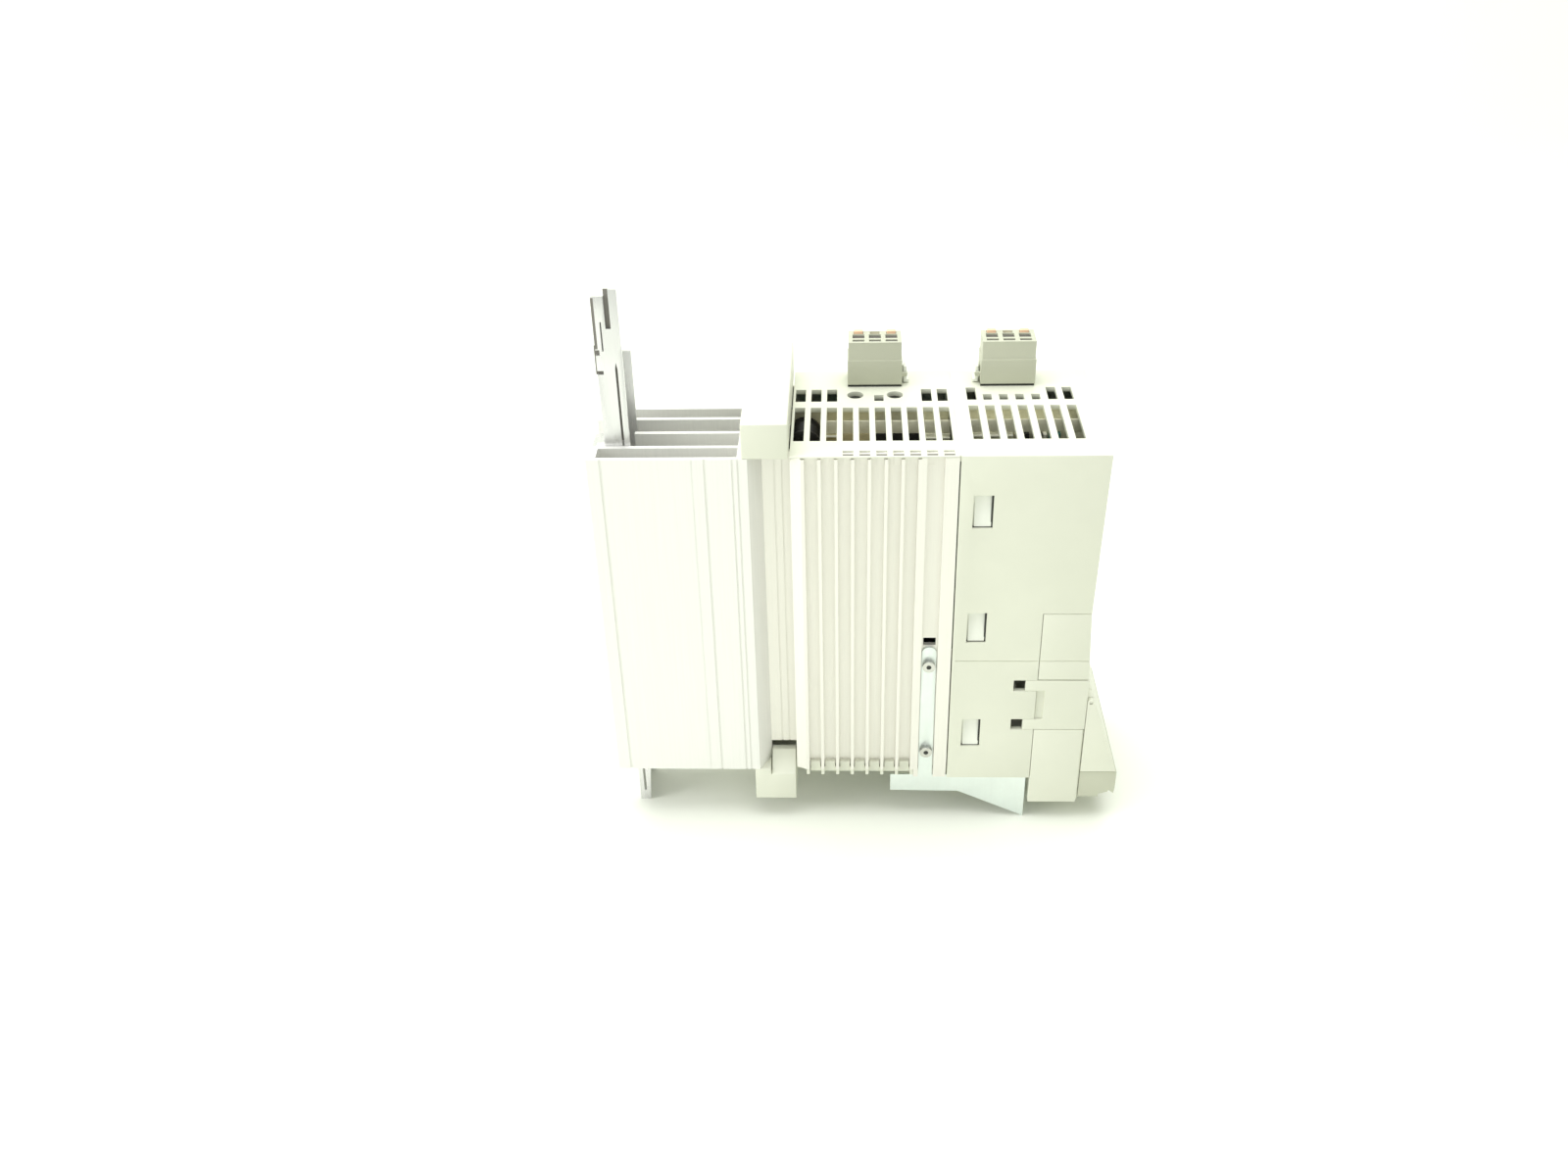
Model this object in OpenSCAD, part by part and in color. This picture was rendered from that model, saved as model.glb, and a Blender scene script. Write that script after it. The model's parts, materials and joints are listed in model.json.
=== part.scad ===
// Compact single-axis servo drive: finned heat sink at the rear, ribbed aluminium sides,
// moulded front housing, two pull-off supply plugs on top and an EMC shield sheet below.
// X runs from the wall to the front, Y across the width, Z up.
// The origin is on the wall plane, on the centre line of the mounting rails, level with
// the lower end of the heat sink.

/* [Body] */
// Overall width of the drive
body_w = 86; // [76:0.5:110]
// Height of the body, from the lower end of the heat sink to the vent covers
body_h = 171; // [150:0.5:215]

/* [Heat sink] */
// Depth of the heat sink
sink_d = 69; // [58:0.5:90]
// Width of the finned part
sink_w = 51; // [46:0.5:64]
// Thickness of its outer walls
sink_wall = 2.2; // [1.6:0.1:3]
// Thickness of its inner fins
fin_t = 2.2; // [1.4:0.1:3]
// Thickness of the base plate that carries the power module
sink_base = 4.5; // [3:0.1:8]

/* [Mounting rails] */
// Width of a rail
rail_w = 24.6; // [20:0.2:26]
// Depth of a rail's side flanges
rail_d = 11; // [8:0.5:14]
// Sheet thickness of a rail
rail_t = 1.5; // [1:0.1:2.5]
// Gap between the wall and the rail's web
rail_back = 6.8; // [5:0.1:9]
// Length of the upper rail above the body
rail_rise = 70; // [40:1:90]
// Length of the lower rail below the body
rail_drop = 31; // [24:1:60]
// Length of rail held inside the heat sink
rail_hold = 58; // [30:1:70]
// Width of the fixing slots
slot_w = 5.5; // [4.5:0.1:7]

/* [Recess and collars] */
// Length of the recess between the heat sink and the ribbed panel
recess_l = 18; // [15:0.5:26]
// Depth of the recess
recess_depth = 10; // [6:0.5:13]
// Height of the upper collar above the body
collar_rise = 15.3; // [8:0.1:22]
// Height of the lower collar below the body
collar_drop = 18.4; // [12:0.1:22]
// Wall of the collars
collar_t = 2; // [1.5:0.1:3]

/* [Ribbed side panels] */
// Length of the ribbed panel
panel_l = 72; // [66:0.5:90]
// Number of ribs
rib_count = 8; // [5:1:8]
// Pitch of the ribs
rib_pitch = 7.14; // [6.4:0.02:7.2]
// Thickness of a rib
rib_t = 1.5; // [1:0.1:2.2]
// Height of a rib
rib_h = 3.6; // [2:0.1:5]
// Wall behind the ribs
panel_wall = 2; // [1.5:0.1:3]
// Width of the channel for the shield sheet
channel_w = 7.5; // [6.8:0.1:9]
// Depth of that channel
channel_depth = 3.2; // [2.6:0.1:3.6]

/* [Front housing] */
// Depth of the front housing
housing_d = 63.3; // [58:0.1:80]
// Wall of the front housing
housing_t = 2.4; // [1.8:0.1:3.2]
// How far the housing reaches below the heat sink
housing_drop = 4.7; // [3.4:0.1:8]
// Depth of the modules in the lower front corner
module_d = 23.2; // [20:0.1:30]
// Height of the top edge of the front lid
lid_top = 91; // [84:0.5:110]
// Height of the top edge of the terminal frame
frame_top = 54; // [46:0.5:60]
// Height of the top edge of the lower plug
plug_top = 24.8; // [20:0.1:30]
// How far the lower plug reaches below the heat sink
plug_drop = 20; // [12:0.5:20]
// Seam between neighbouring parts of the housing
seam = 0.3; // [0.2:0.05:0.5]

/* [Terminal cover] */
// Depth of the hinged cover in front of the terminals
cover_d = 17.4; // [14:0.1:24]
// Height of the hinge of the terminal cover
hinge_z = 40.6; // [36:0.1:46]
// Radius of the hinge pin
pin_r = 0.8; // [0.6:0.05:1]
// Running clearance round the hinge pin
pin_gap = 0.05; // [0.02:0.01:0.1]

/* [Vents] */
// Thickness of the vent covers
vent_t = 2.4; // [2:0.1:3]
// Number of long slots over the ribbed panels
slot_count = 10; // [6:1:10]
// Pitch of those slots
slot_pitch = 7.15; // [6.6:0.05:7.2]
// Width of those slots
slot_gap = 4.6; // [3:0.1:5]
// Number of long slots in the front housing
front_slots = 7; // [5:1:7]
// Pitch of the slots in the front housing
front_pitch = 7.27; // [6.6:0.01:7.6]

/* [Supply plugs] */
// Distance between the poles of a plug
pole_pitch = 7.5; // [7.5:0.02:7.62]
// Number of poles of a plug
poles = 3; // [3:1:3]
// Depth of a plug
supply_d = 14.4; // [13:0.1:16]
// Height of a plug above the body
supply_h = 21.6; // [18:0.1:26]
// Distance from the far side to the plugs
supply_far = 3; // [2.6:0.1:6]
// Place of the first plug along the depth, measured from the recess
supply_x1 = 24.8; // [20:0.1:30]
// Place of the second plug along the depth, measured from the front housing
supply_x2 = 13; // [8:0.1:18]
// Gap round a plug
supply_gap = 0.3; // [0.2:0.05:0.5]

/* [Shield sheet] */
// Thickness of the shield sheet
sheet_t = 1; // [0.8:0.1:1.5]
// Length of the tongues above the body's lower end
tongue_l = 71; // [50:1:90]
// Head radius of the shield screws
head_r = 2.95; // [2.5:0.05:3.2]
// Thread radius of the shield screws
screw_r = 1.5; // [1.25:0.05:2]

/* [Circuit boards] */
// Distance between the circuit boards and the plugs
board_gap = 15; // [12:0.5:18]
// Thickness of the circuit boards
board_t = 1.6; // [1:0.1:2]
// Radius of the bus capacitors
bus_r = 11; // [8:0.5:12]
// Number of bus capacitors
bus_count = 4; // [2:1:4]

/* [Hidden] */
$fn = 64;

sink_x2 = sink_d;                              // front of the heat sink's near wall
recess_x = sink_d + recess_l * 0.31;           // where the slanted flank ends
panel_x = sink_d + recess_l;                   // start of the ribbed panel
panel_x2 = panel_x + panel_l;                  // end of the ribbed panel
shell_x = panel_x2 + 0.6;                      // rear edge of the front housing
shell_x2 = shell_x + housing_d;                // front of the housing at the top
module_x = shell_x2 - module_d;                // rear edge of the lower front modules
lean = 1.7;                                    // the front face falls back by this at the lid
frame_x2 = shell_x2 + 0.5;                     // front of the terminal frame
cover_x = frame_x2 + seam;                     // rear of the terminal cover
panel_h = body_h - vent_t;
lip_t = 0.7;                                   // lip of the upper vent cover
lip_gap = 0.05;                                // room under that lip
sink_h = body_h - 1;
rib_x = panel_x + 5.4;                         // first rib
channel_x = rib_x + (rib_count - 1) * rib_pitch + 3;
channel_mid = channel_x + channel_w / 2;
wall_in = rib_h + panel_wall;                  // inner face of the side panels
vent_x = panel_x + 1.1;                        // first long slot
front_vent_x = shell_x + 6.2;                  // first slot in the housing
cell_w = (sink_w - rail_w - 0.6 - 2 * sink_wall - 2 * fin_t) / 2;
fin_rear = 4;                                  // rear ends of the fins beside the rail
fin_y1 = sink_wall + cell_w;                   // first fin
fin_y3 = sink_w - sink_wall - cell_w - fin_t;  // third fin
rail_y = fin_y1 + fin_t + 0.3;                 // near side of the rails
rail_x2 = rail_back + rail_d;
supply_y = body_w - supply_far - supply_d;     // near face of the supply plugs
board_y = supply_y - board_gap - board_t;      // near face of the circuit boards
plug_w = poles * pole_pitch + 2.4;             // width of a supply plug
plug_x1 = panel_x + supply_x1;
plug_x2 = shell_x + supply_x2;
nose_y = supply_y + 0.8;                       // nose of a plug, which stands in its socket
nose_d = 9.2;
supply_pocket = 9;                             // length of that nose
long_y = supply_y - 21.3;                      // far ends of the long slots
short_y1 = supply_y - 15.1;                    // short vents beyond them
short_y2 = supply_y - 2.4;
finger_l = 5.6;                                // snap fingers of the terminal frame
finger_h = 5.9;
clip_l = 5.5;                                  // clip holes behind the fingers
clip_gap = 0.15;                               // clearance above and below a finger
finger_zs = [plug_top + seam, frame_top - seam - finger_h];
notch_low = plug_top + seam + finger_h;        // upper edge of the lower finger
hinge_r = 1.7;
hinge_x = cover_x + hinge_r;
shield_z = -housing_drop - 0.2;                // upper edge of the shield sheet's flange
screw_low = 10.4;
screw_high = tongue_l - 10;
plastic = "#dfe3cf";
grey = "#b6ba9f";
alloy = "#e4e4dc";

// Distance from the near side, turned into a Y coordinate
function near(d) = d - sink_w / 2;
// The same distance from the far side
function far(d) = near(body_w) - d;

// Box from its lowest to its highest corner
module block(a, b) {
    translate(a)
        cube(b - a);
}

// Outline in X and Z, given a thickness from y0 to y1
module slab_y(y0, y1) {
    translate([0, y1, 0])
        rotate([90, 0, 0])
            linear_extrude(y1 - y0)
                children();
}

// Outline in Y and Z, given a thickness from x0 to x1
module slab_x(x0, x1) {
    translate([x0, 0, 0])
        rotate([90, 0, 90])
            linear_extrude(x1 - x0)
                children();
}

// Round bar along Y
module bar_y(r, y0, y1) {
    translate([0, y1, 0])
        rotate([90, 0, 0])
            cylinder(r = r, h = y1 - y0);
}

// Round bar along X
module bar_x(r, x0, x1) {
    translate([x0, 0, 0])
        rotate([0, 90, 0])
            cylinder(r = r, h = x1 - x0);
}

// Copy of a child on both sides of the drive
module both_sides() {
    children();
    opposite()
        children();
}

// A child carried over to the far side
module opposite() {
    translate([0, near(0) + far(0), 0])
        mirror([0, 1, 0])
            children();
}

// ---- heat sink and rails ----

module sink_profile() {
    fin_x2 = sink_x2 - sink_base;
    difference() {
        union() {
            translate([0, near(0)])
                square([sink_x2, sink_wall]);
            translate([0, near(sink_w - sink_wall)])
                square([fin_x2 + 0.1, sink_wall]);
            translate([fin_x2, near(0)])
                square([sink_base, body_w]);
            for (y = [fin_y1, fin_y3])
                translate([fin_rear - 1, near(y)])
                    square([fin_x2 - fin_rear + 1.1, fin_t]);
            translate([rail_x2 + 0.5, near((sink_w - fin_t) / 2)])
                square([fin_x2 - rail_x2, fin_t]);
            // flanges that close the outer cells at the rear
            translate([0, near(0)])
                square([fin_rear, fin_y1 + fin_t]);
            translate([0, near(fin_y3)])
                square([fin_rear, sink_w - fin_y3]);
            // lips that hold the rails
            translate([fin_rear - 1, near(fin_y1)])
                square([rail_back - fin_rear + 1, fin_t + 3.4]);
            translate([fin_rear - 1, near(fin_y3 - 3.4)])
                square([rail_back - fin_rear + 1, fin_t + 3.4]);
        }
        // shadow lines along the near wall
        for (line = [[5.6, 1.1], [50.2, 0.9], [62.2, 0.7], [64.6, 0.7]])
            translate([line[0], near(-1)])
                square([line[1], 1.5]);
        translate([45, near(-1)])
            square([0.4, 1.2]);
    }
}

module heatsink() {
    color(alloy)
        difference() {
            union() {
                linear_extrude(sink_h)
                    sink_profile();
                // slanted flanks towards the recesses
                both_sides()
                    linear_extrude(sink_h)
                        polygon([[sink_x2 - 1, near(0)], [sink_x2, near(0)],
                            [recess_x, near(recess_depth)], [recess_x, near(recess_depth + 1.8)],
                            [sink_x2 - 1, near(recess_depth + 1.8)]]);
            }
            // tapped holes for the power module
            for (z = [module_z + 6, module_z + module_h - 6])
                translate([0, near(module_y + module_w / 2), z])
                    bar_x(screw_r, sink_x2 - sink_base - 1, sink_x2 + 1);
        }
}

// Channel section of a rail, open towards the front
module rail_profile() {
    difference() {
        translate([rail_back, near(rail_y)])
            square([rail_d, rail_w]);
        translate([rail_back + rail_t, near(rail_y + rail_t)])
            square([rail_d, rail_w - 2 * rail_t]);
    }
}

// Pad that carries a rail's load to the wall
module rail_pad(z0, z1) {
    block([0, -5.6, z0], [rail_back + 0.01, 5.6, z1]);
}

web_rise = 57;                                 // height of the upper rail's web above the body
far_rise = 33;                                 // height of its far flange
fork_l = 22;                                   // depth of the fork for the upper screw

module rail_top() {
    z1 = body_h + rail_rise;
    x1 = rail_back + rail_t;
    color(alloy)
        difference() {
            union() {
                translate([0, 0, body_h - rail_hold])
                    linear_extrude(rail_rise + rail_hold)
                        rail_profile();
                rail_pad(body_h - 24, body_h - 4);
            }
            // the far flange and the web end lower than the near flange
            block([x1, near(rail_y + rail_w - rail_t) - 1, body_h + far_rise],
                [rail_x2 + 1, near(rail_y + rail_w) + 1, z1 + 1]);
            block([0, near(rail_y + rail_t), body_h + web_rise],
                [x1 + 0.01, near(rail_y + rail_w) + 1, z1 + 1]);
            // fork for the upper wall screw
            block([rail_back - 1, -slot_w / 2, body_h + web_rise - fork_l],
                [x1 + 1, slot_w / 2, z1 + 1]);
            translate([0, 0, body_h + web_rise - fork_l])
                bar_x(slot_w / 2, rail_back - 1, x1 + 1);
            // the near flange is stepped, slotted and pierced
            for (cut = near_flange_cuts)
                block([rail_back + cut[0], near(rail_y) - 1, body_h + cut[2]],
                    [rail_back + cut[1], near(rail_y + rail_t) + 0.01, body_h + cut[3]]);
            // tapered end of the long slot
            slab_y(near(rail_y) - 1, near(rail_y + rail_t) + 0.01)
                polygon([[rail_back + 7.6, body_h + 34.9], [rail_back + 8.6, body_h + 34.9],
                    [rail_back + 8.1, body_h + 38]]);
        }
}

// Cuts in the upper rail's near flange: X range from the web, then Z range above the body.
// Rear notches, narrow slot, fork between the two lobes, long slot, step at the front edge.
near_flange_cuts = [[-1, 1.7, 41.2, 43.6], [-1, 2.6, 32.5, 34.2], [2.9, 3.5, 43, 56],
    [5.2, 7.4, 53, 71], [7.6, 8.6, -30, 35], [10.9, 12, 45, 71], [-1, 5.3, 67, 71]];

module rail_bottom() {
    color(alloy)
        difference() {
            union() {
                difference() {
                    translate([0, 0, -rail_drop])
                        linear_extrude(rail_drop + rail_hold)
                            rail_profile();
                    // the flanges taper towards the foot
                    slab_y(near(rail_y) - 1, near(rail_y + rail_w) + 1)
                        polygon([[rail_back + 5, -rail_drop - 1], [rail_x2 - 4.4, -6],
                            [rail_x2 - 4.4, 0], [rail_x2 + 1, 0], [rail_x2 + 1, -rail_drop - 1]]);
                }
                rail_pad(-3, 20);
            }
            translate([0, 0, -rail_drop + 14])
                bar_x(slot_w / 2, rail_back - 1, rail_back + rail_t + 1);
            for (y = [rail_y, rail_y + rail_w - rail_t])
                block([rail_back + 2.2, near(y) - 1, -rail_drop + 6],
                    [rail_back + 3.4, near(y + rail_t) + 1, -2]);
        }
}

// ---- collars ----

module collar_top() {
    x1 = sink_d - 2.4;
    x2 = panel_x - 0.5;
    color(plastic)
        difference() {
            block([x1, near(0), sink_h], [x2, far(0), body_h + collar_rise]);
            block([x1 + collar_t, near(collar_t), sink_h - 1],
                [x2 - collar_t, far(collar_t), body_h + collar_rise - collar_t]);
        }
}

module collar_bottom() {
    x1 = sink_d - 2.4;
    x2 = panel_x - 0.7;
    color(plastic)
        difference() {
            union() {
                block([x1, near(0), -collar_drop], [x2, far(0), -3.3]);
                // slanted shoulders under the recesses
                both_sides()
                    slab_x(recess_x + 0.3, x2)
                        polygon([[near(0), -3.4], [near(0), -3.3], [near(recess_depth - 2), 6],
                            [near(recess_depth + 1.6), 6], [near(recess_depth + 1.6), -3.4]]);
                block([x1, near(0), -3.4], [recess_x - 0.3, far(0), 0]);
            }
            block([x1 + collar_t, near(collar_t), -collar_drop - 1],
                [x2 - collar_t, far(collar_t), -3.3 - collar_t]);
        }
}

// ---- ribbed side panels ----

module panel_profile() {
    step = panel_x + 1.8;
    difference() {
        union() {
            // web at the bottom of the recess
            translate([recess_x, near(recess_depth)])
                square([step - recess_x, 1.8]);
            polygon([[panel_x, near(recess_depth + 1.8)], [panel_x, near(2.2)],
                [rib_x - rib_t / 2, near(0)], [rib_x + rib_t / 2, near(0)],
                [rib_x + rib_t / 2, near(wall_in)], [step, near(wall_in)],
                [step, near(recess_depth + 1.8)]]);
            translate([rib_x, near(rib_h)])
                square([panel_x2 - rib_x, panel_wall]);
            for (i = [1 : rib_count - 1])
                translate([rib_x + i * rib_pitch - rib_t / 2, near(0)])
                    square([rib_t, wall_in]);
            translate([channel_x - 3.6, near(0)])
                square([panel_x2 - channel_x + 3.6, wall_in]);
            translate([panel_x2 - 2, near(wall_in - 0.1)])
                square([2, 5]);
        }
        translate([channel_x, near(-1)])
            square([channel_w, channel_depth + 1]);
        for (x = [recess_x + 5, recess_x + 8.4])
            translate([x, near(recess_depth - 1)])
                square([0.7, 1.5]);
    }
}

module side_panel() {
    color(alloy)
        difference() {
            union() {
                linear_extrude(panel_h)
                    panel_profile();
                // wall and ribs rise beside the vent cover, up to its lip
                linear_extrude(body_h - lip_t - lip_gap)
                    intersection() {
                        panel_profile();
                        translate([panel_x + 0.3, near(0)])
                            square([panel_x2 - panel_x - 0.3, wall_in]);
                    }
            }
            // the ribs stop short of the lip
            for (i = [0 : rib_count - 1])
                block([rib_x - rib_t / 2 - 0.05 + i * rib_pitch, near(-1), body_h - lip_t - 0.7],
                    [rib_x + rib_t / 2 + 0.05 + i * rib_pitch, near(1.6), body_h]);
            block([recess_x - 1, near(recess_depth - 1), -1],
                [panel_x, near(recess_depth + 3), 10]);
            for (z = [screw_low, screw_high])
                translate([channel_mid, 0, z])
                    bar_y(screw_r, near(-1), near(wall_in + 1));
            // notches under the vent cover's edge slits
            for (i = [3 : slot_count - 2])
                block([slot_at(i) + 0.4, near(1.2), panel_h - 3],
                    [slot_at(i) + slot_gap - 1.2, near(wall_in + 1), body_h]);
            // window above the tongue of the shield sheet
            block([channel_x + 0.9, near(-1), tongue_l + 0.6],
                [channel_x + channel_w - 0.9, near(wall_in + 1), tongue_l + 4.8]);
        }
}

module side_panel_near() {
    side_panel();
}

module side_panel_far() {
    opposite()
        side_panel();
}

// ---- vent covers over the ribbed part ----

function slot_at(i) = vent_x + i * slot_pitch;

// Long slot that leaves the cover open from y0 to y1
module vent_slot(x, w, y0, y1, z0, z1) {
    block([x, near(y0), z0], [x + w, near(y1), z1]);
}

module top_cover() {
    lo = panel_h - 1;
    hi = body_h + 1;
    color(plastic)
        difference() {
            block([panel_x, near(0), panel_h], [panel_x2, far(0), body_h]);
            // thin lip over the wall and the ribs of the side panels
            both_sides()
                block([panel_x + 0.2, near(-1), lo], [panel_x2 + 1, near(wall_in + 0.1), body_h - lip_t]);
            for (i = [3 : slot_count - 1])
                block([slot_at(i), near(wall_in - 1), lo],
                    [slot_at(i) + slot_gap, near(wall_in + 3), body_h - 1.3]);
            for (i = [0 : slot_count - 1])
                vent_slot(slot_at(i), slot_gap, 14.7, long_y, lo, hi);
            for (i = [0, 1, 2, slot_count - 2, slot_count - 1])
                vent_slot(slot_at(i), slot_gap, short_y1, short_y2, lo, hi);
            vent_slot(slot_at(5), slot_gap - 0.4, short_y1 + 0.5, short_y1 + 6.7, lo, hi);
            for (i = [3 : slot_count - 1])
                vent_slot(slot_at(i), slot_gap, 1, wall_in + 0.1, lo, hi);
            for (x = [slot_at(3.8), slot_at(6) + slot_gap / 2])
                translate([x, near(short_y1 + 6.7), lo])
                    cylinder(r = 3.7, h = hi - lo);
            plug_opening(plug_x1, lo, hi);
        }
}

// Opening that a supply plug stands in
module plug_opening(x, z0, z1) {
    block([x + 0.4 - supply_gap, near(nose_y - supply_gap), z0],
        [x + plug_w - 0.4 + supply_gap, near(nose_y + nose_d + supply_gap), z1]);
}

module bottom_cover() {
    tooth = rib_pitch - rib_t - 1;
    color(plastic)
        difference() {
            union() {
                block([panel_x, near(rib_h + 0.4), -vent_t], [panel_x2, far(rib_h + 0.4), 0]);
                both_sides()
                    for (i = [0 : rib_count - 2])
                        block([rib_x + rib_t / 2 + 0.5 + i * rib_pitch, near(1.8), -vent_t],
                            [rib_x + rib_t / 2 + 0.5 + i * rib_pitch + tooth, near(rib_h), 3.6]);
                both_sides()
                    block([rib_x + rib_t / 2 + 0.5, near(1.8), -vent_t],
                        [channel_x - 3.8, near(rib_h + 0.5), 0]);
                both_sides()
                    for (i = [0 : rib_count - 1])
                        block([rib_x + i * rib_pitch - rib_t / 2, near(0.1), -3.2],
                            [rib_x + i * rib_pitch + rib_t / 2, near(rib_h + 0.5), 0]);
            }
            for (i = [0 : slot_count - 1])
                vent_slot(slot_at(i), slot_gap, 14.7, long_y, -vent_t - 1, 1);
            for (x = [panel_x + 5, panel_x2 - 5])
                for (y = [near(11), far(11)])
                    translate([x, y, -vent_t - 1])
                        cylinder(r = screw_r, h = vent_t + 2);
        }
}

module cover_screws() {
    color("silver")
        for (x = [panel_x + 5, panel_x2 - 5])
            for (y = [near(11), far(11)])
                translate([x, y, -vent_t - 1.6]) {
                    cylinder(r = 2.7, h = 1.6);
                    translate([0, 0, 1.5])
                        cylinder(r = screw_r, h = vent_t + 5);
                }
}

// ---- front housing ----

// Outer outline of the housing, seen from the side
module housing_outline() {
    difference() {
        polygon([[shell_x, -housing_drop], [module_x - seam, -housing_drop],
            [module_x - seam, lid_top], [shell_x2 - lean, lid_top],
            [shell_x2, body_h], [shell_x, body_h]]);
        // slots for the snap fingers of the terminal frame, with a clip hole behind each
        for (z = finger_zs)
            translate([module_x - finger_l - clip_l, z - clip_gap])
                square([finger_l + clip_l + 1, finger_h + 2 * clip_gap]);
    }
}

window_x = shell_x + 6;                        // snap windows in the housing's sides
window_w = 8.8;
window_h = 16.4;
window_zs = [for (i = [0 : 2]) 14.6 + i * (body_h - 50) / 2];

module housing() {
    t = housing_t;
    lo = body_h - t - 1;
    hi = body_h + 1;
    color(plastic)
        difference() {
            slab_y(near(0), far(0))
                housing_outline();
            // hollow, open at the rear and towards the lower front modules
            block([shell_x - 1, near(t), -housing_drop + t], [module_x + 1, far(t), body_h - t]);
            block([module_x, near(t), lid_top - 1], [shell_x2 - lean - t, far(t), body_h - t]);
            for (z = window_zs)
                block([window_x, near(-1), z], [window_x + window_w, far(-1), z + window_h]);
            // shadow line round the sides
            both_sides()
                block([shell_x + 1.4, near(-1), 64.6], [module_x - seam - 0.5, near(0.35), 65]);
            for (i = [0 : front_slots - 1])
                vent_slot(front_vent_x + i * front_pitch, slot_gap - 0.3, 15.8, long_y + 1.4, lo, hi);
            for (i = [0, front_slots - 2, front_slots - 1])
                vent_slot(front_vent_x + i * front_pitch, slot_gap - 0.3, short_y1 + 1, short_y2 + 1.2, lo, hi);
            for (i = [1 : front_slots - 3])
                vent_slot(front_vent_x + i * front_pitch, 3.9, short_y1 + 1, short_y1 + 6.8, lo, hi);
            plug_opening(plug_x2, lo, hi);
            // openings in the front face
            block([shell_x2 - 8, near(memory_y - 0.3), memory_z - 0.3],
                [shell_x2 + 1, near(memory_y + memory_w + 0.3), memory_z + memory_h + 0.3]);
            for (i = [0 : 2])
                translate([0, near(guide_y), guide_z - i * 6])
                    bar_x(1.6, shell_x2 - 8, shell_x2 + 1);
        }
}

// Frame behind the snap windows, with hooks that stand in them
module inner_frame() {
    t = housing_t;
    color("#ecefe2")
        both_sides()
            for (z = window_zs) {
                block([window_x - 2, near(t), z - 2],
                    [window_x + window_w + 2, near(t + 1.6), z + window_h + 2]);
                slab_x(window_x + 0.7, window_x + window_w - 0.7)
                    polygon([[near(t + 0.1), z + 0.6], [near(1), z + 0.6],
                        [near(t + 0.1), z + window_h - 0.4]]);
            }
}

module front_lid() {
    lo = frame_top + seam;
    hi = lid_top - seam;
    foot = shell_x2 + 0.1;
    rise = shell_x2 - lean;
    color(plastic)
        difference() {
            slab_y(near(0), far(0))
                polygon([[module_x, lo], [foot, lo], [rise, hi], [module_x, hi]]);
            slab_y(near(2), far(2))
                polygon([[module_x - 1, lo - 1], [foot - 2, lo - 1], [rise - 2, hi + 1],
                    [module_x - 1, hi + 1]]);
            both_sides()
                block([module_x - 1, near(-1), 64.6], [shell_x2 + 1, near(0.35), 65]);
        }
}

module terminal_frame() {
    t = 2.2;
    color(plastic) {
        difference() {
            union() {
                // side cheeks with snap fingers
                both_sides()
                    block([module_x, near(0), plug_top + seam], [frame_x2, near(t), frame_top - seam]);
                both_sides()
                    for (z = finger_zs)
                        block([module_x - finger_l, near(0), z], [module_x + 0.1, near(t), z + finger_h]);
                // front wall, which reaches down behind the control terminals
                block([frame_x2 - t, near(t - 0.1), plug_top + seam],
                    [frame_x2, far(t - 0.1), frame_top - seam]);
                block([frame_x2 - t, near(t + 0.4), -16.8],
                    [frame_x2, far(t + 0.4), plug_top + seam + 0.1]);
                // shelf over the lower plug
                block([module_x, near(t - 0.1), notch_low + 1],
                    [frame_x2 - t + 0.1, far(t - 0.1), notch_low + 3]);
                for (y = frame_knuckles)
                    hinge_knuckle(y, knuckle_w);
            }
            both_sides()
                block([module_x - 1, near(-1), notch_low],
                    [module_x + 3.6, near(1.1), frame_top - seam - finger_h]);
            translate([hinge_x, 0, hinge_z])
                bar_y(pin_r, near(-1), far(-1));
        }
    }
}

knuckle_w = 6;
frame_knuckles = [3, body_w / 2 - knuckle_w / 2, body_w - 3 - knuckle_w];

// Knuckle of the terminal frame, bridged to its front wall
module hinge_knuckle(y, w) {
    translate([hinge_x, 0, hinge_z])
        bar_y(hinge_r, near(y), near(y + w));
    block([frame_x2 - 0.1, near(y), hinge_z - 1.2], [hinge_x, near(y + w), hinge_z + 1.2]);
}

module terminal_cover() {
    t = 1.8;
    foot_z = -0.8;
    x2 = frame_x2 + cover_d;
    color(grey)
        difference() {
            slab_y(near(0), far(0))
                cover_outline(x2, foot_z);
            slab_y(near(t), far(t))
                polygon([[cover_x - 1, hinge_z - 4], [hinge_x - 0.5, hinge_z - 4],
                    [x2 - t - 0.8, foot_z - 1], [cover_x - 1, foot_z - 1]]);
            // gaps for the frame's knuckles
            for (y = frame_knuckles)
                block([cover_x - 1, near(y - 0.4), hinge_z - 4.2],
                    [hinge_x + hinge_r + 0.3, near(y + knuckle_w + 0.4), hinge_z + 3]);
            translate([hinge_x, 0, hinge_z])
                bar_y(pin_r + pin_gap, near(-1), far(-1));
        }
}

// Side view of the terminal cover: round at the hinge, sloping down to the front
module cover_outline(x2, foot_z) {
    translate([hinge_x, hinge_z])
        circle(r = hinge_r);
    polygon([[cover_x, foot_z], [x2, foot_z], [hinge_x + hinge_r * 0.93, hinge_z + hinge_r * 0.37],
        [hinge_x, hinge_z], [cover_x, hinge_z]]);
}

module hinge_pin() {
    color("silver")
        translate([hinge_x, 0, hinge_z])
            bar_y(pin_r, near(0.6), far(0.6));
}

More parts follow.
